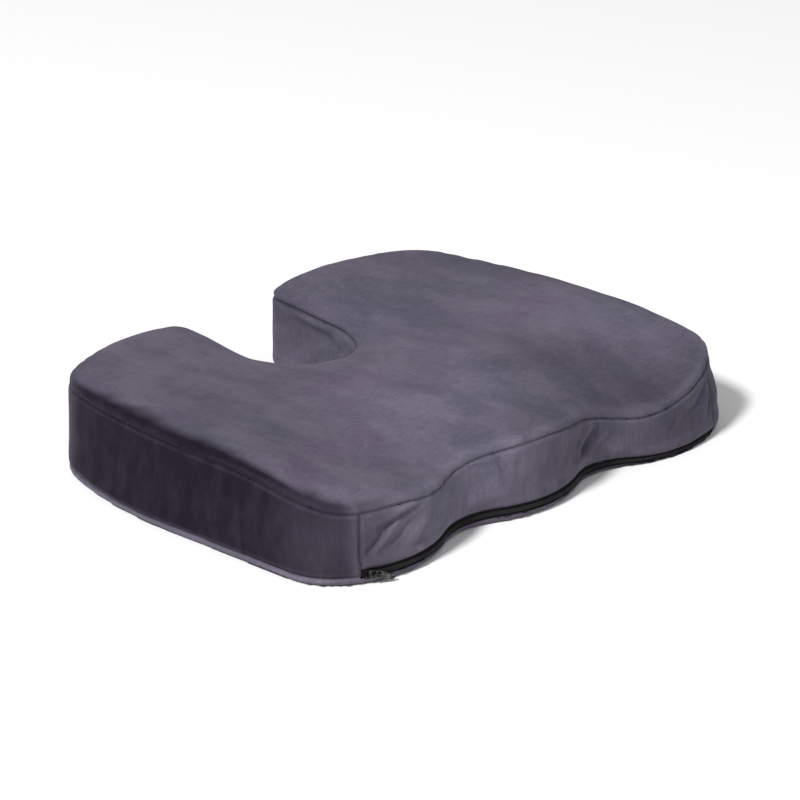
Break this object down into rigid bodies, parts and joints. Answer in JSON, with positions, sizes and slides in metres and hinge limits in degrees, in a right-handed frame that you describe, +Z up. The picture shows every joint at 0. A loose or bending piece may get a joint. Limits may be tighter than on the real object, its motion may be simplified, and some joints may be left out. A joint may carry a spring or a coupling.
{
  "type": "seat cushion",
  "caption": "Contoured foam seat cushion with a U-shaped tail-bone cut-out, a scalloped front edge and a zip-off velour cover.",
  "frame": {"origin": "middle of the footprint, on the surface the cushion stands on", "axes": "+Z up, +X to the right across the cushion's width, +Y towards the back, where the U-shaped cut-out opens; the scalloped front with the zip faces -Y"},
  "size_m": [0.45, 0.3563, 0.0738],
  "materials": {
    "foam": "matte",
    "velour": "matte",
    "underside": "matte",
    "zip_tape": "matte",
    "zip_coil": "satin",
    "zip_metal": "satin"
  },
  "bodies": {
    "cushion": {"foam_core": "foam", "top_panel": "velour", "front_band": "velour", "side_band_left": "velour", "side_band_right": "velour", "bottom_panel": "underside", "zip_tape_upper": "zip_tape", "zip_tape_lower": "zip_tape", "zip_coil_upper": "zip_coil", "zip_coil_lower": "zip_coil", "top_stop_upper": "zip_metal", "top_stop_lower": "zip_metal", "end_stop": "zip_metal"},
    "slider": {"slider_body": "zip_metal"},
    "pull": {"pull_tab": "zip_metal"}
  },
  "joints": [
    {"name": "slider_travel", "type": "hinge", "parent": "cushion", "child": "slider", "pos_m": [-0.15, -0.0795, 0.0086], "axis": [0, 0, 1], "range_deg": [0, 44], "deforming": ["zip_tape_upper", "zip_tape_lower", "zip_coil_upper", "zip_coil_lower"]},
    {"name": "pull_swing", "type": "hinge", "parent": "slider", "child": "pull", "pos_m": [-0.18504, -0.17327, 0.0086], "axis": [-0.3204, 0.1197, -0.9397], "range_deg": [0, 180]}
  ]
}
